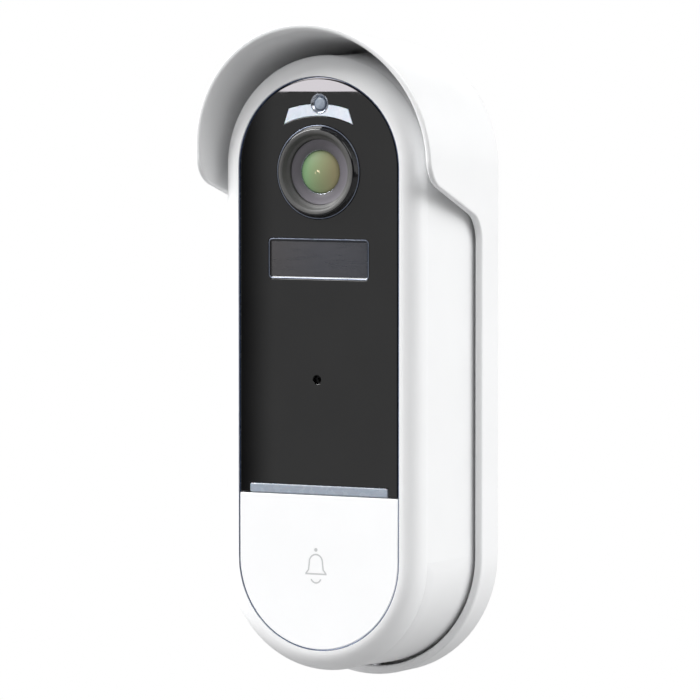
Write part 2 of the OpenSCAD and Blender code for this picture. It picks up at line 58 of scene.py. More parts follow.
# The shape helpers work in millimetres, with "forward" the distance in front of the wall.
# MM takes millimetres to metres.
MM = 0.001


def span(node):
    """Lowest and highest corner of a CAD node in millimetres."""
    low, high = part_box(node)
    return low / MM, high / MM


# ---- sizes, worked out from the frame ----

panel_low, panel_high = span("front_panel")
housing_low = span("front_housing")[0]
bracket_low, bracket_high = span("mounting_bracket")
ring_low, ring_high = span("camera_bezel")
baffle_low, baffle_high = span("lens_baffle_ring")
lens_low, lens_high = span("front_lens")
sensor_low, sensor_high = span("photosensor_ring")
trim_high = span("panel_trim_ring")[1]

PANEL_R = panel_high.x
HALF = panel_high.z - PANEL_R
PANEL_F = -panel_low.y
SEAT_F = -panel_high.y
FRONT_F = -housing_low.y
LENS_Z = (ring_low.z + ring_high.z) / 2
SENSOR_X = (sensor_low.x + sensor_high.x) / 2
SENSOR_Z = (sensor_low.z + sensor_high.z) / 2

# ---- sizes of the bracket that no box gives ----

LIP_F = 8.6
LIP_WALL = 2.0
PLATE_T = 2.5
HOOD_WALL = 1.5
HOOD_RISE = 2.7
HOOD_LEAN = math.radians(7.6)
HOOD_REACH_F = FRONT_F + 2.8
HOOD_SLOPE = math.radians(19)
HOOD_LOW = (LIP_F, HALF - 12.6)
HOOD_INNER_ROUND = 7.0
HOOD_FRONT_ROUND = 8.0
SCREW_Z = 42.0
PEG_Z = (-56.0, 58.0)
LOCK_F = 5.7
LOCK_BORE_R = 1.6

# ---- shape helpers ----


def sharpen(mesh, angle):
    """Creases edges over an angle in degrees and keeps the flat faces flat."""
    smooth = [face.use_smooth for face in mesh.polygons]
    mesh.set_sharp_from_angle(angle=math.radians(angle))
    mesh.polygons.foreach_set("use_smooth", smooth)


class Shape:
    """A mesh built from rings of points (x, forward, z) in millimetres."""

    def __init__(self):
        self.bm = bmesh.new()

    def ring(self, points):
        return [self.bm.verts.new((x * MM, -f * MM, z * MM)) for x, f, z in points]

    def strip(self, a, b, closed=True, smooth=True, index=0):
        """Faces between two rings of the same length."""
        count = len(a)
        for i in range(count if closed else count - 1):
            j = (i + 1) % count
            corners = [a[i], a[j], b[j], b[i]]
            corners = [v for k, v in enumerate(corners) if v is not corners[k - 1]]
            if len(corners) > 2:
                face = self.bm.faces.new(corners)
                face.smooth = smooth
                face.material_index = index

    def fan(self, ring, point, index=0, smooth=True):
        tip = self.ring([point])[0]
        for i, v in enumerate(ring):
            face = self.bm.faces.new([v, ring[(i + 1) % len(ring)], tip])
            face.smooth = smooth
            face.material_index = index

    def fill(self, rings, index=0):
        """Flat face inside the first ring, with the others as holes."""
        edges = []
        for ring in rings:
            for i, v in enumerate(ring):
                w = ring[(i + 1) % len(ring)]
                edges.append(self.bm.edges.get((v, w)) or self.bm.edges.new((v, w)))
        made = bmesh.ops.triangle_fill(self.bm, use_beauty=True, use_dissolve=False, edges=edges)
        for face in made["geom"]:
            if isinstance(face, bmesh.types.BMFace):
                face.smooth = False
                face.material_index = index

    def lathe(self, profile, x=0.0, z=0.0, steps=96, indices=None, close=False):
        """Turns a profile of (radius, forward) about a forward axis."""
        rings = []
        for r, f in profile:
            turn = [math.tau * k / steps for k in range(steps)]
            if r == 0:
                rings.append((0.0, f))
            else:
                rings.append(self.ring([(x + r * math.cos(a), f, z + r * math.sin(a)) for a in turn]))
        for k in range(len(rings) - 1 + close):
            a, b = rings[k], rings[(k + 1) % len(rings)]
            index = indices[k] if indices else 0
            if isinstance(b, tuple):
                self.fan(a, (x, b[1], z), index)
            elif isinstance(a, tuple):
                self.fan(b, (x, a[1], z), index)
            else:
                self.strip(a, b, index=index)
        return rings

    def object(self, name, body, *materials, sharp=40, slot=None):
        bmesh.ops.recalc_face_normals(self.bm, faces=self.bm.faces)
        mesh = bpy.data.meshes.new(name)
        self.bm.to_mesh(mesh)
        self.bm.free()
        sharpen(mesh, sharp)
        obj = bpy.data.objects.new(name, mesh)
        bpy.context.scene.collection.objects.link(obj)
        for material in materials:
            mesh.materials.append(MATERIALS[material])
        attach(obj, body)
        slot or materials[0]
        return obj


def arc(centre, radius, start, end, steps):
    """Points on a circle, with the angles in degrees."""
    return [
        (centre[0] + radius * math.cos(math.radians(start + (end - start) * i / steps)),
         centre[1] + radius * math.sin(math.radians(start + (end - start) * i / steps)))
        for i in range(steps + 1)
    ]


def stadium_stations(steps=48, straights=6):
    """Places round the stadium outline as (height of the arc's centre, angle)."""
    top = [(HALF, math.pi * k / steps) for k in range(steps + 1)]
    down = [(HALF - 2 * HALF * k / straights, math.pi) for k in range(1, straights)]
    bottom = [(-HALF, math.pi + math.pi * k / steps) for k in range(steps + 1)]
    up = [(-HALF + 2 * HALF * k / straights, math.tau) for k in range(1, straights)]
    return top + down + bottom + up


def stadium_ring(r, f, stations):
    return [(r * math.cos(a), f, z + r * math.sin(a)) for z, a in stations]


def stadium_sweep(shape, profile, indices):
    """Carries a closed profile of (radius, forward) round the whole stadium."""
    stations = stadium_stations()
    rings = [shape.ring(stadium_ring(r, f, stations)) for r, f in profile]
    for k, ring in enumerate(rings):
        shape.strip(ring, rings[(k + 1) % len(rings)], index=indices[k])


def outlines(node, forward):
    """Loops of (x, z) round a CAD node's flat face at that forward position, the longest first."""
    mesh = frame["nodes"][node].data
    place = [tuple(round(c / MM, 3) for c in v.co) for v in mesh.vertices]
    directed = set()
    for face in mesh.polygons:
        corners = [place[v] for v in face.vertices]
        if all(abs(-c[1] - forward) < 0.005 for c in corners):
            for i, c in enumerate(corners):
                directed.add((c, corners[(i + 1) % len(corners)]))
    ahead = {a: b for a, b in directed if (b, a) not in directed}
    loops = []
    while ahead:
        start, here = ahead.popitem()
        loop = [start]
        while here != start:
            loop.append(here)
            here = ahead.pop(here)
        loops.append([(c[0], c[2]) for c in loop])
    length = lambda loop: sum(math.dist(p, loop[i - 1]) for i, p in enumerate(loop))
    return sorted(loops, key=length, reverse=True)


def inset(loop, distance):
    """The loop moved sideways into the face that it bounds."""
    moved, count = [], len(loop)
    for i, p in enumerate(loop):
        a = (Vector(p) - Vector(loop[i - 1])).normalized()
        b = (Vector(loop[(i + 1) % count]) - Vector(p)).normalized()
        normal = Vector((-a.y - b.y, a.x + b.x)).normalized()
        miter = max(0.3, normal.dot(Vector((-b.y, b.x))))
        moved.append((p[0] + normal.x * distance / miter, p[1] + normal.y * distance / miter))
    return moved


def turned_in(loop_set):
    """+1 if inset() moves the first loop inwards with a positive distance, or -1."""
    loop = loop_set[0]
    area = sum(loop[i - 1][0] * p[1] - p[0] * loop[i - 1][1] for i, p in enumerate(loop))
    return 1 if area > 0 else -1


def side_wall(shape, loop, side, floor_f, front_f, edge, steps=4):
    """Side of a plate with a rounded front edge; returns its front and back rings."""
    rings = []
    for i in range(steps + 1):
        a = math.pi / 2 * i / steps
        path = inset(loop, side * edge * (1 - math.sin(a)))
        f = front_f - edge * (1 - math.cos(a))
        rings.append(shape.ring([(x, f, z) for x, z in path]))
    rings.append(shape.ring([(x, floor_f, z) for x, z in loop]))
    for a, b in zip(rings, rings[1:]):
        shape.strip(a, b)
    return rings[0], rings[-1]


def slab(shape, loops, back_f, front_f, edge, steps=4, inner_edge=None, blind=None):
    """Plate with its front edges rounded. With blind, the inner loops are grooves of that depth."""
    side = turned_in(loops)
    fronts, backs = [], []
    for k, loop in enumerate(loops):
        size = edge if k == 0 or inner_edge is None else inner_edge
        floor_f = back_f if k == 0 or blind is None else front_f - blind
        front, back = side_wall(shape, loop, side, floor_f, front_f, size, steps)
        fronts.append(front)
        backs.append(back)
    shape.fill(fronts)
    if blind is None:
        shape.fill(backs)
    else:
        shape.fill(backs[:1])
        shape.fill(backs[1:])


# ---- materials ----


class Graph:
    """Adds nodes to self.tree."""

    def add(self, kind, **settings):
        node = self.tree.nodes.new(kind)
        for key, value in settings.items():
            setattr(node, key, value)
        return node

    def link(self, output, node, socket):
        self.tree.links.new(output, node.inputs[socket])

    def maths(self, operation, a, b=0.0, c=0.0):
        node = self.add("ShaderNodeMath", operation=operation)
        for k, value in enumerate((a, b, c)):
            if isinstance(value, (int, float)):
                node.inputs[k].default_value = value
            else:
                self.link(value, node, k)
        return node.outputs[0]


class Nodes(Graph):
    """Builds one procedural material round a Principled shader."""

    def __init__(self, name, **sockets):
        self.material = bpy.data.materials.new(name)
        self.material.use_nodes = True
        self.tree = self.material.node_tree
        self.shader = self.tree.nodes["Principled BSDF"]
        for socket, value in sockets.items():
            self.shader.inputs[socket.replace("_", " ")].default_value = value
        self.place = self.add("ShaderNodeTexCoord").outputs["Object"]

    def shifted(self, x=0.0, y=0.0, z=0.0, scale=(1, 1, 1)):
        """Object coordinates measured from a point given in millimetres, then scaled."""
        mapping = self.add("ShaderNodeMapping")
        start = (x * scale[0], y * scale[1], z * scale[2])
        mapping.inputs["Location"].default_value = tuple(-v * MM for v in start)
        mapping.inputs["Scale"].default_value = scale
        self.link(self.place, mapping, "Vector")
        return mapping.outputs[0]

    def noise(self, size, detail=3.0, place=None):
        """Noise whose features are about size millimetres across."""
        node = self.add("ShaderNodeTexNoise")
        node.inputs["Scale"].default_value = 1 / (size * MM)
        node.inputs["Detail"].default_value = detail
        self.link(place or self.place, node, "Vector")
        return node.outputs["Fac"]

    def axis(self, name, place=None):
        """One coordinate, in millimetres."""
        split = self.add("ShaderNodeSeparateXYZ")
        self.link(place or self.place, split, "Vector")
        return self.maths("MULTIPLY", split.outputs[name], 1 / MM)

    def radius(self, x, z):
        """Distance in millimetres from a forward axis."""
        return self.maths("MULTIPLY", self.length(self.shifted(x, 0, z, (1, 0, 1))), 1 / MM)

    def length(self, vector):
        node = self.add("ShaderNodeVectorMath", operation="LENGTH")
        self.link(vector, node, 0)
        return node.outputs["Value"]

    def ramp(self, factor, low, high, start=0.3, end=0.7):
        """Colour or value that runs from low to high while factor goes from start to end."""
        node = self.add("ShaderNodeMapRange")
        node.inputs["From Min"].default_value = start
        node.inputs["From Max"].default_value = end
        self.link(factor, node, "Value")
        if isinstance(low, (int, float)):
            node.inputs["To Min"].default_value = low
            node.inputs["To Max"].default_value = high
            return node.outputs[0]
        return self.mix(node.outputs[0], low, high)

    def mix(self, factor, low, high):
        node = self.add("ShaderNodeMix", data_type="RGBA")
        self.link(factor, node, 0)
        for k, value in ((6, low), (7, high)):
            if isinstance(value, tuple):
                node.inputs[k].default_value = (*value, 1)
            else:
                self.link(value, node, k)
        return node.outputs[2]

    def bump(self, height, distance):
        """Bump whose height of 1 is distance millimetres."""
        node = self.add("ShaderNodeBump")
        node.inputs["Distance"].default_value = distance * MM
        node.inputs["Strength"].default_value = 1.0
        self.link(height, node, "Height")
        self.link(node.outputs[0], self.shader, "Normal")

    def finish(self, colour, roughness):
        self.link(colour, self.shader, "Base Color")
        self.link(roughness, self.shader, "Roughness")
        return self.material


def moulded(name, low, high, rough, grain=0.35, depth=0.004, drift=18, **sockets):
    """Moulded plastic or rubber: a fine grain, a slow colour drift and an uneven gloss."""
    m = Nodes(name, **sockets)
    m.bump(m.noise(grain, 2), depth)
    return m.finish(m.ramp(m.noise(drift, 2), low, high), m.ramp(m.noise(drift / 4, 4), *rough))


def metal(name, low, high, rough, stretch=(1, 1, 12)):
    """Plated or turned metal with fine drawn lines and a few duller patches."""
    m = Nodes(name, Metallic=1.0)
    lines = m.noise(0.25, 3, m.shifted(scale=stretch))
    m.bump(lines, 0.003)
    return m.finish(m.ramp(m.noise(3, 4), low, high), m.ramp(lines, *rough))


def circuit_board(name):
    """Green solder mask with lighter tracks and small pads under it."""
    m = Nodes(name, Coat_Weight=0.4)
    tracks = m.add("ShaderNodeTexBrick", offset=0.35, squash=2.0)
    tracks.inputs["Scale"].default_value = 260
    tracks.inputs["Mortar Size"].default_value = 0.012
    tracks.inputs["Color1"].default_value = (0.012, 0.09, 0.04, 1)
    tracks.inputs["Color2"].default_value = (0.016, 0.11, 0.05, 1)
    tracks.inputs["Mortar"].default_value = (0.05, 0.22, 0.10, 1)
    turn = m.add("ShaderNodeMapping")
    turn.inputs["Rotation"].default_value = (math.pi / 2, 0, 0)
    m.link(m.place, turn, "Vector")
    m.link(turn.outputs[0], tracks, "Vector")
    m.bump(tracks.outputs["Fac"], 0.02)
    return m.finish(tracks.outputs["Color"], m.ramp(m.noise(2), 0.25, 0.4))


def camera_ring():
    """Satin dark ring face, turned on a lathe, so that its fine lines are circles."""
    m = Nodes("camera_ring")
    r = m.radius(0, LENS_Z)
    lines = m.maths("SINE", m.maths("MULTIPLY", r, 60))
    m.bump(m.maths("ADD", lines, m.noise(0.3)), 0.002)
    colour = m.ramp(m.noise(4), (0.068, 0.068, 0.067), (0.084, 0.083, 0.081))
    return m.finish(colour, m.ramp(m.noise(1.2), 0.48, 0.58))


def baffle():
    """Purple-grey ring round the lens, a little darker towards the lens."""
    m = Nodes("baffle_plum")
    r = m.radius(0, LENS_Z)
    m.bump(m.noise(0.2, 2), 0.004)
    grey = m.ramp(r, (0.105, 0.098, 0.112), (0.150, 0.140, 0.160), 5.2, 7.4)
    return m.finish(grey, m.ramp(m.noise(1.5), 0.4, 0.5))


def coated_glass():
    """Lens with an even green coating that turns olive to the right, and pale specks in its middle; the
    same colour also glows, painted light that flattens its shading.
    """
    # Emission_Strength makes the lens glow: painted light standing in for the coating's even reflection
    m = Nodes("coated_glass", Specular_IOR_Level=0.15, Emission_Strength=0.75)
    across = m.ramp(m.axis("X"), (0.105, 0.175, 0.090), (0.165, 0.150, 0.085), -3.6, 3.8)
    r = m.radius(0, LENS_Z)
    rim = m.ramp(r, 1.0, 0.8, 4.2, 4.9)
    shade = m.add("ShaderNodeMix", data_type="RGBA", blend_type="MULTIPLY")
    shade.inputs[0].default_value = 1.0
    m.link(across, shade, 6)
    m.link(rim, shade, 7)
    specks = m.ramp(m.noise(0.45, 1), 0.0, 1.0, 0.55, 0.62)
    spots = m.maths("MULTIPLY", specks, m.ramp(r, 1.0, 0.0, 0.25, 0.8))
    m.bump(m.noise(2.0, 1), 0.002)
    colour = m.mix(spots, shade.outputs[2], (0.75, 0.62, 0.42))
    # the lens colour doubles as its glow, painted light
    m.link(colour, m.shader, "Emission Color")
    return m.finish(colour, m.ramp(r, 0.45, 0.5, 0, 5))


def smoke_window():
    """Dark smoked window with fine upright ribs towards its right end."""
    m = Nodes("smoke_window", Coat_Weight=0.1, Coat_Roughness=0.08)
    x = m.axis("X")
    ribs = m.maths("SINE", m.maths("MULTIPLY", x, math.tau / 0.55))
    m.bump(m.maths("MULTIPLY", ribs, m.ramp(x, 0.1, 1.0, 6, 13)), 0.006)
    base = m.ramp(x, (0.013, 0.012, 0.013), (0.005, 0.008, 0.015), -13, 0)
    streak = m.noise(1.4, 4, m.shifted(scale=(0.25, 1, 1.6)))
    colour = m.mix(m.ramp(streak, 0.0, 0.25, 0.55, 0.8), base, (0.03, 0.034, 0.042))
    return m.finish(colour, m.ramp(streak, 0.18, 0.3))


def diffuser(name, low, high, glow=0.12):
    """Milky translucent plastic."""
    m = Nodes(name, Subsurface_Weight=glow, Subsurface_Scale=0.001, Coat_Weight=0.5, Coat_Roughness=0.1)
    m.bump(m.noise(0.4), 0.003)
    return m.finish(m.ramp(m.noise(2.5), low, high), m.ramp(m.noise(1.5), 0.2, 0.32))


def trim_line():
    """Blue-grey painted bead with a faint sparkle."""
    m = Nodes("trim_blue_grey", Metallic=0.35, Coat_Weight=0.5)
    m.bump(m.noise(0.3), 0.003)
    blue = m.ramp(m.noise(2), (0.10, 0.14, 0.25), (0.15, 0.19, 0.31))
    return m.finish(blue, m.ramp(m.noise(1), 0.2, 0.3))


MATERIALS = {
    "white_shell": moulded("white_shell", (0.86, 0.865, 0.87), (0.88, 0.885, 0.89), (0.32, 0.38)),
    "flap_rubber": moulded(
        "flap_rubber", (0.74, 0.745, 0.75), (0.78, 0.785, 0.79), (0.55, 0.65), 0.2, 0.01,
    ),
    "seal_rubber": moulded(
        "seal_rubber", (0.02, 0.02, 0.022), (0.035, 0.035, 0.037), (0.6, 0.75), 0.2, 0.01,
    ),
    "trim_blue_grey": trim_line(),
    "panel_black": moulded(
        "panel_black", (0.003, 0.003, 0.0032), (0.005, 0.005, 0.0052), (0.0, 0.012), 9, 0.0003,
    ),
    "camera_ring": camera_ring(),
    "ring_gloss": moulded(
        "ring_gloss", (0.004, 0.004, 0.005), (0.008, 0.008, 0.009), (0.08, 0.16), 1, 0.001,
    ),
    "baffle_plum": baffle(),
    "coated_glass": coated_glass(),
    "black_moulding": moulded("black_moulding", (0.015, 0.015, 0.016), (0.028, 0.028, 0.03), (0.4, 0.5)),
    "chip_black": moulded("chip_black", (0.012, 0.012, 0.014), (0.02, 0.02, 0.022), (0.45, 0.6), 0.12),
    "board_green": circuit_board("board_green"),
    "sensor_trim": metal("sensor_trim", (0.42, 0.45, 0.52), (0.55, 0.58, 0.64), (0.2, 0.3), (1, 1, 1)),
    "sensor_dot": diffuser("sensor_dot", (0.20, 0.25, 0.33), (0.42, 0.48, 0.56), 0.0),
    "smoke_window": smoke_window(),
    "window_rim": metal("window_rim", (0.13, 0.15, 0.20), (0.20, 0.22, 0.27), (0.35, 0.45), (1, 1, 1)),
    "infrared_diffuser": diffuser("infrared_diffuser", (0.66, 0.74, 0.84), (0.74, 0.80, 0.88)),
    "light_diffuser": diffuser("light_diffuser", (0.27, 0.31, 0.37), (0.30, 0.34, 0.40)),
    "led_package": diffuser("led_package", (0.75, 0.72, 0.55), (0.85, 0.82, 0.68), 0.3),
    "white_insert": moulded("white_insert", (0.72, 0.71, 0.66), (0.78, 0.77, 0.73), (0.4, 0.5)),
    "icon_grey": moulded("icon_grey", (0.50, 0.505, 0.515), (0.56, 0.565, 0.575), (0.4, 0.5), 0.1),
    "plated_steel": metal("plated_steel", (0.52, 0.53, 0.55), (0.64, 0.65, 0.67), (0.22, 0.38)),
    "brass_part": metal("brass_part", (0.60, 0.42, 0.16), (0.74, 0.54, 0.24), (0.25, 0.4)),
    "battery_wrap": moulded(
        "battery_wrap", (0.03, 0.16, 0.36), (0.05, 0.20, 0.42), (0.25, 0.35), 1.5, 0.004,
    ),
    "wire_sleeve": moulded("wire_sleeve", (0.45, 0.02, 0.02), (0.55, 0.03, 0.03), (0.4, 0.5), 0.3, 0.006),
}
SLOT_OF = {part["node"]: part["material_slot"] for part in frame["record"]["subparts"]}

# ---- CAD nodes that stay: their own slot's material ----

for node, slot in SLOT_OF.items():
    mesh = frame["nodes"][node].data
    mesh.materials.clear()
    mesh.materials.append(MATERIALS[slot])

# ---- mounting bracket ----


def ease(t):
    """0 to 1 with a soft start, so that the hood grows out of the lip without a crease."""
    softness = 0.05
    return t * t * (1 + softness) / (t + softness) if t > 0 else 0.0


def rim_forward(r, z0, angle):
    """Where the leaning rim plane cuts the hood at a station."""
    return HOOD_REACH_F + (z0 - HALF + HOOD_RISE + r * math.sin(angle)) * math.sin(HOOD_LEAN)


def bracket_point(radii, z0, angle, f):
    """Point on a wall of the bracket; radii are at the lip and at the hood's rim."""
    r_back, r_rim = radii
    c, s = math.cos(angle), math.sin(angle)
    z_rim = HALF + (z0 - HALF + HOOD_RISE + r_rim * s) * math.cos(HOOD_LEAN)
    t = ease((f - LIP_F) / (rim_forward(r_rim, z0, angle) - LIP_F))
    return Vector((
        r_back * c + (r_rim - r_back) * c * t,
        -f,
        z0 + r_back * s + (z_rim - z0 - r_back * s) * t,
    ))


def station_at(radii, f, z):
    """Height of the station whose wall passes through a forward and height on the straight side."""
    z0 = z
    for _ in range(8):
        z0 += z - bracket_point(radii, z0, 0, f).z
    return z0


def hood_edge():
    """Side view of the edge, from the lip up to the leaning rim, as (forward, height)."""
    tan, cos = math.tan(HOOD_SLOPE), math.cos(HOOD_SLOPE)
    inner = (HOOD_LOW[0] + HOOD_INNER_ROUND, HOOD_LOW[1] + HOOD_INNER_ROUND * (tan - 1 / cos))
    rise = HOOD_LOW[1] - HOOD_LOW[0] * tan + HOOD_FRONT_ROUND / cos
    lean = math.tan(HOOD_LEAN)
    rim_f = HOOD_REACH_F - HOOD_FRONT_ROUND / math.cos(HOOD_LEAN)
    round_f = (rim_f + lean * (rise - HALF)) / (1 - lean * tan)
    slope, lean = math.degrees(HOOD_SLOPE), math.degrees(HOOD_LEAN)
    low = arc(inner, HOOD_INNER_ROUND, 180, 90 + slope, 14)
    high = arc((round_f, rise + round_f * tan), HOOD_FRONT_ROUND, slope - 90, -lean, 18)
    slope_steps = 8
    start, end = Vector(low[-1]), Vector(high[0])
    between = [tuple(start.lerp(end, k / slope_steps)) for k in range(1, slope_steps)]
    return low + between + high


def bracket_stations(outer, inner):
    """Right half of the outline from the bottom to the top: (height, angle, outer edge, inner edge)."""
    stations = [(-HALF, math.radians(a), LIP_F, LIP_F) for a in range(-90, 0, 4)]
    edge = hood_edge()
    straights = 8
    for k in range(straights):
        z0 = -HALF + (edge[0][1] + HALF) * k / straights
        stations.append((z0, 0.0, LIP_F, LIP_F))
    for f, z in edge:
        stations.append((station_at(outer, f, z), 0.0, f, f))
    last, extra = stations[-1][0], 3
    for k in range(1, extra):
        z0 = last + (HALF - last) * k / extra
        stations.append((z0, 0.0, rim_forward(outer[1], z0, 0), rim_forward(inner[1], z0, 0)))
    for a in range(0, 91, 3):
        angle = math.radians(a)
        rims = rim_forward(outer[1], HALF, angle), rim_forward(inner[1], HALF, angle)
        stations.append((HALF, angle, *rims))
    return stations


def bracket_section(stations, outer, inner, i):
    """Points round the wall at one station, from the wall face over the rim to the plate's front."""
    rim_round, back_round, foot_round = 0.55, 0.5, 0.6
    z0, angle, f_out, f_in = stations[i]
    edge_out = bracket_point(outer, z0, angle, f_out)
    edge_in = bracket_point(inner, z0, angle, f_in)
    beside = []
    for k in (max(i - 1, 0), min(i + 1, len(stations) - 1)):
        z1, a1, f1, _ = stations[k]
        beside.append(bracket_point(outer, z1, a1, f1))
    along = (beside[1] - beside[0]).normalized()
    if i in (0, len(stations) - 1):
        along = Vector((1 if i == 0 else -1, 0, 0))
    through = (edge_in - edge_out).normalized()
    ahead = along.cross(through).normalized()

    def wall(radii, edge, count, first_f):
        end = edge - ahead * rim_round
        z_end = station_at(radii, -end.y, end.z) if angle == 0 and abs(z0) < HALF else z0
        for k in range(count + 1):
            t = k / count
            yield bracket_point(radii, z0 + (z_end - z0) * t, angle, first_f + (-end.y - first_f) * t)

    def flat(r, f):
        return Vector((r * math.cos(angle), -f, z0 + r * math.sin(angle)))

    path = []
    for x, f in arc((outer[0] - back_round, back_round), back_round, -90, 0, 4)[:-1]:
        path.append(flat(x, f))
    path += wall(outer, edge_out, 16, back_round)
    turn = [math.pi / 2 * k / 5 for k in range(6)]
    centre = edge_out + (through - ahead) * rim_round
    path += [centre + (ahead * math.sin(a) - through * math.cos(a)) * rim_round for a in turn[1:]]
    centre = edge_in - (through + ahead) * rim_round
    path += [centre + (ahead * math.cos(a) + through * math.sin(a)) * rim_round for a in turn[:-1]]
    path += reversed(list(wall(inner, edge_in, 14, PLATE_T + foot_round)))
    for x, f in arc((inner[0] - foot_round, PLATE_T + foot_round), foot_round, 0, -90, 4)[1:]:
        path.append(flat(x, f))
    return path


def bore(obj, x, forward, radius, low, high, steps=64):
    """Cuts an upright round hole between two heights out of a closed mesh."""
    shape = Shape()
    turn = [math.tau * k / steps for k in range(steps)]
    circle = [(x + radius * math.cos(a), forward + radius * math.sin(a)) for a in turn]
    rings = [shape.ring([(across, f, z) for across, f in circle]) for z in (low, high)]
    shape.strip(*rings)
    for ring in rings:
        shape.fill([ring])
    bmesh.ops.recalc_face_normals(shape.bm, faces=shape.bm.faces)
    mesh = bpy.data.meshes.new("cutter")
    shape.bm.to_mesh(mesh)
    shape.bm.free()
    cutter = bpy.data.objects.new("cutter", mesh)
    bpy.context.scene.collection.objects.link(cutter)
    boolean = obj.modifiers.new("bore", "BOOLEAN")
    boolean.operation = "DIFFERENCE"
    boolean.solver = "EXACT"
    boolean.use_self = True
    boolean.object = cutter
    depsgraph = bpy.context.evaluated_depsgraph_get()
    result = bpy.data.meshes.new_from_object(obj.evaluated_get(depsgraph))
    obj.modifiers.clear()
    obj.data = result
    bpy.data.objects.remove(cutter)
    sharpen(result, 40)


def mounting_bracket():
    outer = (-bracket_low.z - HALF, bracket_high.x)
    inner = (outer[0] - LIP_WALL, outer[1] - HOOD_WALL)
    stations = bracket_stations(outer, inner)
    right = [bracket_section(stations, outer, inner, i) for i in range(len(stations))]
    left = [[Vector((-p.x, p.y, p.z)) for p in section] for section in reversed(right[1:-1])]
    sections = right + left
    shape = Shape()
    rings = [shape.ring([(s[k].x, -s[k].y, s[k].z) for s in sections]) for k in range(len(sections[0]))]
    for a, b in zip(rings, rings[1:]):
        shape.strip(a, b)
    back, front = [rings[0]], [rings[-1]]
    for z in (-SCREW_Z, SCREW_Z):
        hole = [(4.5, PLATE_T), (4.3, 2.42), (4.2, 2.2), (4.2, 1.5), (4.1, 1.4), (2.2, 1.4), (2.1, 1.3),
                (2.1, 0.25), (2.2, 0.07), (2.4, 0)]
        made = shape.lathe(hole, 0, z, 64)
        front.append(made[0])
        back.append(made[-1])
    for z in PEG_Z:
        peg = [(2.6, PLATE_T), (2.2, 2.6), (2.0, 3.0), (2.0, 6.9), (1.85, 7.3), (1.5, 7.5), (0, 7.5)]
        front.append(shape.lathe(peg, 0, z, 48)[0])
    shape.fill(back)
    shape.fill(front)
    obj = shape.object("mounting_bracket_moulding", "bracket", "white_shell")
    lip_z = -HALF - outer[0]
    bore(obj, 0, LOCK_F, LOCK_BORE_R, lip_z - 1, lip_z + 3)
    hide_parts("mounting_bracket")


# ---- unit: panel, button and the windows in the panel ----


def gap_shade_rim(shape, low_z, steps=48):
    """Thin black rim beside the panel that reaches out below the frame's edge; it hides the white seat in
    the gap, painted shade for the gap's floor.
    """
    over_the_top = [(HALF, math.pi * k / steps) for k in range(steps + 1)]
    stations = [(low_z, 0.0)] + over_the_top + [(low_z, math.pi)]
    inner, floor_f, top_f, soft = PANEL_R - 0.5, SEAT_F + 0.01, SEAT_F + 0.7, 0.05
    profile = [
        (inner, floor_f), (PANEL_R, floor_f), (PANEL_R, top_f - soft), (PANEL_R - soft, top_f),
        (inner, top_f),
    ]
    rings = [shape.ring(stadium_ring(r, f, stations)) for r, f in profile]
    for k, ring in enumerate(rings):
        shape.strip(ring, rings[(k + 1) % len(rings)], closed=False)
    for end in (0, -1):
        shape.bm.faces.new([ring[end] for ring in rings])


def front_panel():
    shape = Shape()
    slab(shape, outlines("front_panel", PANEL_F), SEAT_F, PANEL_F, 0.17)
    # black rim in the gap round the panel: painted shade where the gap's floor would show white
    gap_shade_rim(shape, panel_low.z + 0.02)
    obj = shape.object("front_panel_plate", "unit", "panel_black")
    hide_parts("front_panel")


def infrared_window():
    shape = Shape()
    slab(shape, outlines("infrared_window", PANEL_F), SEAT_F, PANEL_F, 0.14)
    obj = shape.object("infrared_window_plate", "unit", "infrared_diffuser")
    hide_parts("infrared_window")


def motion_window():
    """Smoked window sunk inside a thin bright rim."""
    front_f = -span("motion_lens")[0].y
    loop = outlines("motion_lens", front_f)[0]
    side = turned_in([loop])
    back_f = SEAT_F - 0.5
    rim = [
        (0.0, back_f), (0.0, front_f - 0.08), (0.04, front_f - 0.02), (0.1, front_f), (0.2, front_f - 0.02),
    ]
    slope = [(0.28, front_f - 0.08), (0.5, front_f - 0.26), (0.6, front_f - 0.3), (0.75, front_f - 0.31)]
    shape = Shape()
    rings = [shape.ring([(x, f, z) for x, z in inset(loop, side * way)]) for way, f in rim + slope]
    for k, (a, b) in enumerate(zip(rings, rings[1:])):
        shape.strip(a, b, index=1 if 0 < k < len(rim) else 0)
    shape.fill(rings[:1])
    shape.fill(rings[-1:])
    obj = shape.object("motion_lens_window", "unit", "smoke_window", "window_rim")
    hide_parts("motion_lens")


def status_light():
    shape = Shape()
    slab(shape, outlines("status_light_bar", PANEL_F), SEAT_F, PANEL_F, 0.32, steps=5)
    low, high = span("status_light_bar")
    guide_x, guide_low, guide_high, guide_back_f = 15.0, low.z + 0.4, low.z + 1.8, -high.y
    guide = [(-guide_x, guide_low), (guide_x, guide_low), (guide_x, guide_high), (-guide_x, guide_high)]
    slab(shape, [guide], guide_back_f, SEAT_F - 0.02, 0.1, steps=2)
    obj = shape.object("status_light_bar_window", "unit", "light_diffuser")
    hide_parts("status_light_bar")


def trim_line_bead():
    """Fine painted bead between the frame and the panel; its outer groove is black moulding, painted shade
    for the gap beside the frame.
    """
    outer, top = trim_high.x, PANEL_F
    inner, ridge, groove_f = outer - 0.28, outer - 0.11, top - 0.7
    profile = [
        (inner, SEAT_F), (inner, top - 0.08), (inner + 0.03, top - 0.02), (inner + 0.08, top),
        (ridge - 0.03, top - 0.03), (ridge, top - 0.1), (ridge + 0.01, groove_f), (outer, groove_f),
        (outer, SEAT_F),
    ]
    # the dark index gives the outer groove black moulding: painted shade in the gap beside the frame
    painted, dark = 0, 1
    shape = Shape()
    stadium_sweep(shape, profile, [painted] * 5 + [dark] * 4)
    obj = shape.object("panel_trim_bead", "unit", "trim_blue_grey", "black_moulding", sharp=50)
    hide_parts("panel_trim_ring")


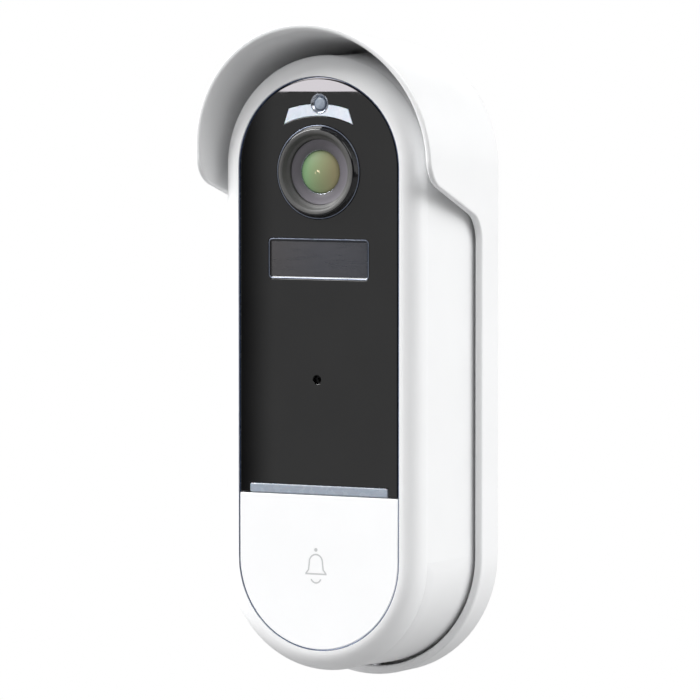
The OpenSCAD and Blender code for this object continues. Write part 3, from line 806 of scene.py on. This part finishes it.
def button():
    high = span("button_cap")[1]
    face_back_f = PANEL_F - 1.7
    stem_z, stem_r, stem_tip_f = -48.0, 2.5, -high.y
    edge, groove_edge, groove_depth = 0.24, 0.04, 0.15
    shape = Shape()
    face = outlines("button_cap", PANEL_F)
    slab(shape, face, face_back_f, PANEL_F, edge, steps=6, inner_edge=groove_edge, blind=groove_depth)
    stem = [(0, face_back_f - 0.02), (stem_r, face_back_f - 0.02), (stem_r, stem_tip_f + 0.3),
            (stem_r - 0.1, stem_tip_f + 0.08), (stem_r - 0.3, stem_tip_f), (0, stem_tip_f)]
    shape.lathe(stem, 0, stem_z, 48)
    obj = shape.object("button_cap_moulding", "button", "white_shell")
    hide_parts("button_cap")


# ---- unit: camera ----


def camera_ring_piece():
    """Turned ring: a gloss black wall, a satin band and a step down to the lens."""
    r, base, top = ring_high.x, PANEL_F, -ring_low.y
    wall_profile = [
        (r, SEAT_F), (r, base + 0.05), (r - 0.03, base + 0.1), (r - 0.1, base + 0.13),
        (r - 0.22, base + 0.15),
        (r - 0.26, base + 0.22), (r - 0.8, top - 0.3), (r - 0.9, top - 0.16), (r - 1.05, top - 0.06),
    ]
    band = [
        (r - 1.15, top - 0.02), (r - 1.25, top), (r - 1.6, top - 0.03), (r - 1.95, top - 0.12),
        (r - 2.05, top - 0.2),
    ]
    step = [
        (r - 2.12, top - 0.32), (r - 2.5, top - 1.2), (r - 2.6, top - 1.32), (r - 3.1, top - 1.4),
        (r - 3.2, top - 1.46), (r - 3.25, top - 1.7), (r - 3.25, SEAT_F),
    ]
    profile = wall_profile + band + step
    satin, gloss, bright = 0, 1, 2
    indices = [gloss, bright, bright, bright] + [gloss] * (len(wall_profile) - 4)
    indices += [satin] * (len(profile) - len(wall_profile) - 1) + [gloss]
    shape = Shape()
    shape.lathe(profile, 0, LENS_Z, 192, indices, close=True)
    obj = shape.object("camera_ring_turned", "unit", "camera_ring", "ring_gloss", "window_rim", sharp=50)
    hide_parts("camera_bezel")


def baffle_piece():
    """Shallow cone with fine ribs near its outer edge and a polished chamfer round the lens."""
    r, face_f, back_f = baffle_high.x, -baffle_low.y, -baffle_high.y
    hole = lens_high.x + 0.05
    profile = [
        (r, back_f), (r, face_f - 0.12), (r - 0.04, face_f - 0.02), (r - 0.1, face_f),
        (r - 0.24, face_f - 0.02), (r - 0.34, face_f - 0.1), (r - 1.3, face_f - 0.17),
        (r - 1.4, face_f - 0.16), (hole + 0.3, face_f - 0.3),
        (hole + 0.22, face_f - 0.36), (hole + 0.04, face_f - 0.62), (hole, face_f - 0.8), (hole, back_f),
    ]
    ribs, first, last, depth = 150, r - 1.3, r - 0.34, 0.07
    steps = 2 * ribs
    shape = Shape()
    rings = []
    for radius, f in profile:
        turn = [math.tau * k / steps for k in range(steps)]
        ribbed = first - 0.01 < radius < last + 0.01
        rings.append(shape.ring([
            (radius * math.cos(a), f + (depth if ribbed and k % 2 else 0), LENS_Z + radius * math.sin(a))
            for k, a in enumerate(turn)
        ]))
    chamfer = len(profile) - 5
    for k, ring in enumerate(rings):
        shape.strip(ring, rings[(k + 1) % len(rings)], index=1 if k in (chamfer, chamfer + 1) else 0)
    obj = shape.object("lens_baffle_cone", "unit", "baffle_plum", "sensor_trim", sharp=30)
    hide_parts("lens_baffle_ring")


def lens_piece():
    """Domed front lens with a ground rim."""
    r, back_f, crown_f = lens_high.x, -lens_high.y, -lens_low.y
    dome, steps = 9.0, 14
    profile = [(0, crown_f)]
    for k in range(1, steps + 1):
        radius = (r - 0.12) * k / steps
        profile.append((radius, crown_f - dome + math.sqrt(dome**2 - radius**2)))
    edge_f = profile[-1][1]
    profile += [(r - 0.04, edge_f - 0.06), (r, edge_f - 0.16)]
    profile += [(r, back_f + 0.1), (r - 0.1, back_f), (0, back_f)]
    shape = Shape()
    shape.lathe(profile, 0, LENS_Z, 128)
    obj = shape.object("front_lens_dome", "unit", "coated_glass")
    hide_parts("front_lens")


def photosensor():
    r, face_f, back_f = sensor_high.x, -sensor_low.y, -sensor_high.y
    hole = 1.47
    profile = [
        (hole, back_f), (r, back_f), (r, face_f - 0.16), (r - 0.04, face_f - 0.05), (r - 0.12, face_f),
        (r - 0.22, face_f - 0.03), (r - 0.3, face_f - 0.12), (hole + 0.1, face_f - 0.5),
        (hole, face_f - 0.7),
    ]
    shape = Shape()
    shape.lathe(profile, SENSOR_X, SENSOR_Z, 96, close=True)
    obj = shape.object("photosensor_ring_turned", "unit", "sensor_trim")
    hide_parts("photosensor_ring")
    low, high = span("photosensor_lens")
    r, crown_f, back_f = high.x - SENSOR_X, -low.y, -high.y
    dome, steps = 4.0, 8
    profile = [(0, crown_f)]
    for k in range(1, steps + 1):
        radius = (r - 0.08) * k / steps
        profile.append((radius, crown_f - dome + math.sqrt(dome**2 - radius**2)))
    profile += [(r, profile[-1][1] - 0.1), (r, back_f + 0.1), (r - 0.1, back_f), (0, back_f)]
    shape = Shape()
    shape.lathe(profile, SENSOR_X, SENSOR_Z, 64)
    obj = shape.object("photosensor_dome", "unit", "sensor_dot", slot="smoke_window")
    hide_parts("photosensor_lens")


# ---- soft edges on the CAD nodes that stay in view ----


def soften(node, width):
    """Rounds the sharp edges of a CAD node with modifiers; its own mesh stays as it is."""
    obj = frame["nodes"][node]
    weld = obj.modifiers.new("weld", "WELD")
    weld.merge_threshold = 1e-6
    bevel = obj.modifiers.new("bevel", "BEVEL")
    bevel.width = width * MM
    bevel.segments = 2
    bevel.limit_method = "ANGLE"
    bevel.angle_limit = math.radians(35)
    bevel.harden_normals = True


mounting_bracket()
front_panel()
infrared_window()
motion_window()
status_light()
trim_line_bead()
button()
camera_ring_piece()
baffle_piece()
lens_piece()
photosensor()
for node in ("rear_housing", "front_housing", "usb_cover", "lock_screw", "housing_screws"):
    soften(node, 0.12)

# ---- camera, floor and light ----


def toward(azimuth, elevation):
    """Unit vector away from the doorbell; azimuth 0 is straight in front, 90 is to the right."""
    a, e = math.radians(azimuth), math.radians(elevation)
    return Vector((math.sin(a) * math.cos(e), -math.cos(a) * math.cos(e), math.sin(e)))


def camera():
    data = bpy.data.cameras.new("camera")
    data.lens = 285.3
    data.clip_end = 20
    cam = bpy.data.objects.new("camera", data)
    bpy.context.scene.collection.objects.link(cam)
    azimuth, elevation, distance = 29.03, 3.5, 1.3
    middle = Vector((0, -FRONT_F * MM, 0))
    back = toward(azimuth, elevation)
    side = toward(azimuth + 90, 0)
    cam.location = middle + back * distance
    aim = middle + side * 7.46 * MM + back.cross(side) * 3.40 * MM
    cam.rotation_mode = "QUATERNION"
    cam.rotation_quaternion = (aim - cam.location).to_track_quat("-Z", "Y")
    bpy.context.scene.camera = cam


def sun(name, azimuth, elevation, strength, softness=40):
    """Soft distant light; a strength of 1 makes a white card that faces it read white."""
    light = bpy.data.lights.new(name, "SUN")
    light.energy = math.pi * strength
    light.angle = math.radians(softness)
    lamp = bpy.data.objects.new(name, light)
    bpy.context.scene.collection.objects.link(lamp)
    lamp.rotation_mode = "QUATERNION"
    lamp.rotation_quaternion = toward(azimuth, elevation).to_track_quat("Z", "Y")


def strip_light():
    """Narrow bright card whose mirror image is the crescent at the top of the black panel."""
    width, height, low_z, distance, radiance = 0.4, 0.06, 0.0405, 2.0, 15.0
    light = bpy.data.lights.new("strip", "AREA")
    light.shape = "RECTANGLE"
    light.size, light.size_y = width, height
    light.energy = math.pi * width * height * radiance
    light.color = (1.0, 0.95, 1.0)
    lamp = bpy.data.objects.new("strip", light)
    bpy.context.scene.collection.objects.link(lamp)
    lamp.location = toward(-29, 0) * distance + Vector((0, 0, low_z + height / 2))
    lamp.rotation_mode = "QUATERNION"
    lamp.rotation_quaternion = toward(-29, 0).to_track_quat("Z", "Y")
    lamp.visible_camera = False


def floor():
    """Round plain floor: a mid grey card that reads as pale grey under the suns."""
    radius, z = 2.5, -0.4
    bm = bmesh.new()
    bmesh.ops.create_circle(bm, cap_ends=True, radius=radius, segments=128)
    mesh = bpy.data.meshes.new("floor")
    bm.to_mesh(mesh)
    bm.free()
    obj = bpy.data.objects.new("floor", mesh)
    bpy.context.scene.collection.objects.link(obj)
    obj.location.z = z
    m = Nodes("floor_card")
    m.bump(m.noise(3), 0.05)
    grey = m.ramp(m.noise(200), (0.165, 0.165, 0.166), (0.175, 0.175, 0.176))
    mesh.materials.append(m.finish(grey, m.ramp(m.noise(30), 0.7, 0.8)))


class Sky(Graph):
    """Studio walls seen by the object; the camera itself sees plain white."""

    def __init__(self):
        self.world = bpy.data.worlds.new("studio")
        self.world.use_nodes = True
        self.tree = self.world.node_tree
        self.way = self.add("ShaderNodeTexCoord").outputs["Generated"]

    def facing(self, direction):
        """Cosine of the angle to a direction."""
        dot = self.add("ShaderNodeVectorMath", operation="DOT_PRODUCT")
        dot.inputs[1].default_value = direction
        self.link(self.way, dot, 0)
        return dot.outputs["Value"]

    def between(self, value, start, end):
        """0 to 1 while the value goes from start to end."""
        node = self.add("ShaderNodeMapRange", interpolation_type="SMOOTHSTEP")
        node.inputs["From Min"].default_value = start
        node.inputs["From Max"].default_value = end
        self.link(value, node, "Value")
        return node.outputs[0]

    def lobe(self, azimuth, elevation, width):
        """Soft round patch of light, width degrees to its edge."""
        return self.between(self.facing(toward(azimuth, elevation)), math.cos(math.radians(width)), 1.0)

    def finish(self, strength):
        background = self.tree.nodes["Background"]
        seen = self.add("ShaderNodeLightPath").outputs["Is Camera Ray"]
        self.link(self.maths("MAXIMUM", strength, seen), background, "Strength")
        background.inputs["Color"].default_value = (1, 1, 1, 1)
        bpy.context.scene.world = self.world


def world():
    """Wide soft card to the left of the camera, a weaker one behind on the right, dim all round."""
    front_strength, back_strength, everywhere = 0.75, 0.8, 0.03
    sky = Sky()
    front = sky.maths("MULTIPLY", sky.lobe(-30, 0, 76), front_strength)
    back = sky.maths("MULTIPLY", sky.lobe(145, 0, 70), back_strength)
    # dark gap at the left of the wide card, which the panel's left edge mirrors
    aside = sky.facing(toward(-29.6 - 90, 0))
    gap_start, gap_full, gap_end = (math.sin(math.radians(a)) for a in (-0.15, 0.25, 2.0))
    opened, closed = sky.between(aside, gap_start, gap_full), sky.between(aside, gap_end, gap_end + 0.01)
    gap = sky.maths("SUBTRACT", opened, closed)
    lit = sky.maths("MULTIPLY", front, sky.maths("SUBTRACT", 1.0, gap))
    sky.finish(sky.maths("ADD", sky.maths("ADD", lit, back), everywhere))


camera()
world()
floor()
strip_light()
sun("key", -72, 45, 2.4)
sun("fill", 72, 45, 0.5)
sun("edge", 105, 20, 0.4)
bpy.context.scene.view_settings.view_transform = "Standard"
